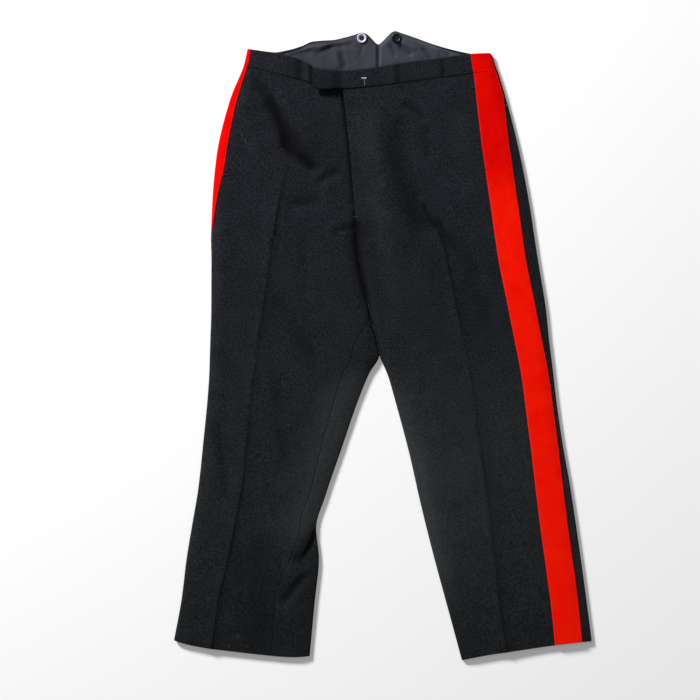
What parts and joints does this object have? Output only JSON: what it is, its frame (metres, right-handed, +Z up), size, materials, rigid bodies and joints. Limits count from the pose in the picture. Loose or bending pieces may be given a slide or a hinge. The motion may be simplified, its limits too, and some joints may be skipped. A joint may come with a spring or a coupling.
{
  "type": "military dress trousers",
  "caption": "Black wool dress trousers with broad red side stripes, a tabbed front waistband and a high fishtail back with brace buttons, laid out flat.",
  "frame": {"origin": "centre of the cloth's footprint, on the surface that it lies on", "axes": "+X towards the wearer's left, +Y from the hems to the waist, +Z up from the surface, out of the front of the garment"},
  "size_m": [0.77, 1.1598, 0.0181],
  "materials": {
    "wool": "near-black barathea wool, matt",
    "stripe": "scarlet facing cloth, matt",
    "lining": "slate twill lining, slight sheen",
    "pale_button": "pale ring with a dark centre",
    "dark_button": "polished black"
  },
  "bodies": {
    "root": {"front_right": "wool", "front_left": "wool", "back_right": "wool", "back_left": "wool", "waistband_right": "wool", "waistband_left": "wool", "stripe_right": "stripe", "stripe_left": "stripe", "stripe_right_band": "stripe", "stripe_left_band": "stripe", "lining_right": "lining", "lining_left": "lining", "brace_button_right": "pale_button", "brace_button_left": "dark_button"}
  },
  "joints": []
}
